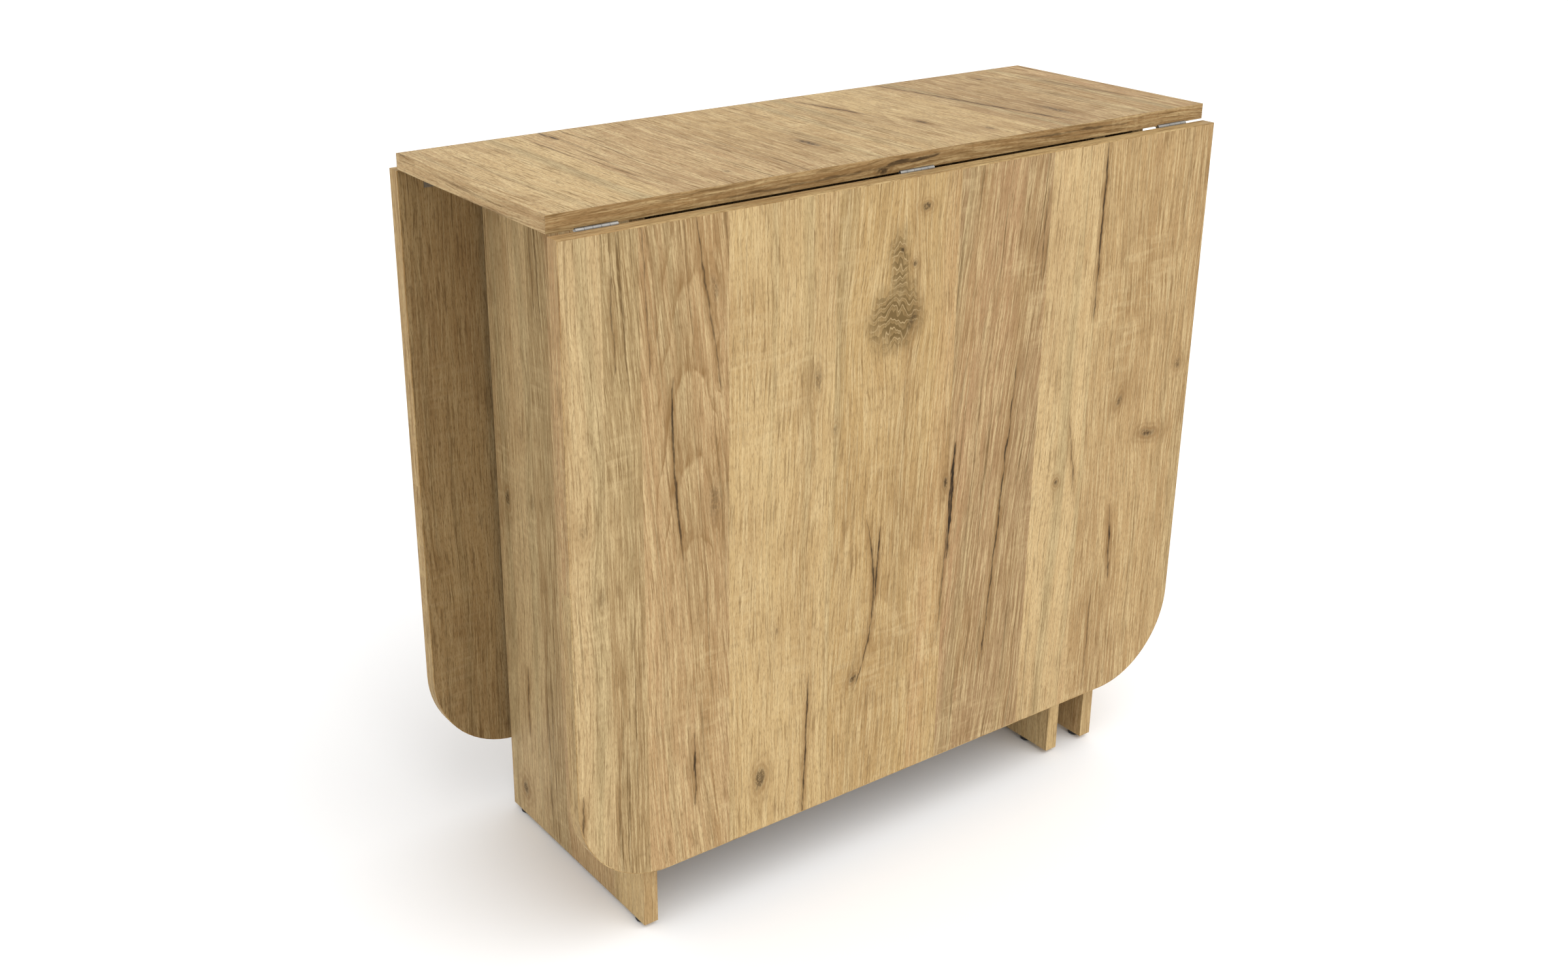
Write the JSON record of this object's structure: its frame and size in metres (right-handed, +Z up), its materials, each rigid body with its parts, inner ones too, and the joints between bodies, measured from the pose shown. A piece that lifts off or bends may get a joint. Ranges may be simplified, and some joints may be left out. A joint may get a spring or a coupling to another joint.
{
  "type": "gateleg table",
  "caption": "Folding gateleg table of laminated oak board: a narrow top on end panels, drop leaves on card hinges, and swing-out gates that carry them.",
  "frame": {"origin": "on the floor below the middle of the top, folded", "axes": "+X along the top, -Y towards the front leaf, +Z up"},
  "size_m": [0.8, 0.315, 0.75],
  "materials": {
    "oak_laminate": "matt laminate with an oak pattern",
    "oak_edge_band": "matt edge band with an oak pattern",
    "top_edge_band": "matt edge band, darker, grain along it",
    "zinc_plated_steel": "bright zinc plate",
    "cast_zinc": "as cast",
    "black_plastic": "moulded",
    "beech": "bare, fluted dowel stock"
  },
  "bodies": {
    "base": {"back_gate_hinge_post_plates": "zinc_plated_steel", "back_left_hinge_top_plate": "zinc_plated_steel", "back_middle_hinge_top_plate": "zinc_plated_steel", "back_right_hinge_top_plate": "zinc_plated_steel", "cam_bolts": "zinc_plated_steel", "cam_housings": "cast_zinc", "frame_dowels": "beech", "front_gate_hinge_post_plates": "zinc_plated_steel", "front_left_hinge_top_plate": "zinc_plated_steel", "front_middle_hinge_top_plate": "zinc_plated_steel", "front_right_hinge_top_plate": "zinc_plated_steel", "gate_hinge_pins": "zinc_plated_steel", "leaf_hinge_pins": "zinc_plated_steel", "left_end_panel": "oak_laminate", "lower_stretcher": "oak_laminate", "panel_edge_bands": "oak_edge_band", "panel_glide_nails": "zinc_plated_steel", "panel_glides": "black_plastic", "post_hinge_screws": "zinc_plated_steel", "right_end_panel": "oak_laminate", "stretcher_edge_bands": "oak_edge_band", "table_top": "oak_laminate", "top_end_edge_bands": "oak_edge_band", "top_hinge_screws": "zinc_plated_steel", "top_long_edge_bands": "top_edge_band", "upper_stretcher": "oak_laminate"},
    "front_leaf": {"front_leaf_board": "oak_laminate", "front_leaf_edge_band": "oak_edge_band", "front_leaf_hinge_screws": "zinc_plated_steel", "front_left_hinge_leaf_plate": "zinc_plated_steel", "front_middle_hinge_leaf_plate": "zinc_plated_steel", "front_right_hinge_leaf_plate": "zinc_plated_steel"},
    "back_leaf": {"back_leaf_board": "oak_laminate", "back_leaf_edge_band": "oak_edge_band", "back_leaf_hinge_screws": "zinc_plated_steel", "back_left_hinge_leaf_plate": "zinc_plated_steel", "back_middle_hinge_leaf_plate": "zinc_plated_steel", "back_right_hinge_leaf_plate": "zinc_plated_steel"},
    "front_gate": {"front_gate_dowels": "beech", "front_gate_edge_bands": "oak_edge_band", "front_gate_glide": "black_plastic", "front_gate_glide_nail": "zinc_plated_steel", "front_gate_hinge_gate_plates": "zinc_plated_steel", "front_gate_hinge_screws": "zinc_plated_steel", "front_gate_leg": "oak_laminate", "front_gate_lower_rail": "oak_laminate", "front_gate_stile": "oak_laminate", "front_gate_upper_rail": "oak_laminate"},
    "back_gate": {"back_gate_dowels": "beech", "back_gate_edge_bands": "oak_edge_band", "back_gate_glide": "black_plastic", "back_gate_glide_nail": "zinc_plated_steel", "back_gate_hinge_gate_plates": "zinc_plated_steel", "back_gate_hinge_screws": "zinc_plated_steel", "back_gate_leg": "oak_laminate", "back_gate_lower_rail": "oak_laminate", "back_gate_stile": "oak_laminate", "back_gate_upper_rail": "oak_laminate"}
  },
  "joints": [
    {"name": "front_leaf_hinge", "type": "hinge", "parent": "base", "child": "front_leaf", "pos_m": [0, -0.1404, 0.7329], "axis": [-1, 0, 0], "range_deg": [0, 90]},
    {"name": "back_leaf_hinge", "type": "hinge", "parent": "base", "child": "back_leaf", "pos_m": [0, 0.1404, 0.7329], "axis": [1, 0, 0], "range_deg": [0, 90]},
    {"name": "front_gate_hinge", "type": "hinge", "parent": "base", "child": "front_gate", "pos_m": [-0.2968, -0.1057, 0.4], "axis": [0, 0, -1], "range_deg": [-4.5, 0.6]},
    {"name": "back_gate_hinge", "type": "hinge", "parent": "base", "child": "back_gate", "pos_m": [0.2968, 0.1057, 0.4], "axis": [0, 0, -1], "range_deg": [-4.5, 0.6]}
  ]
}
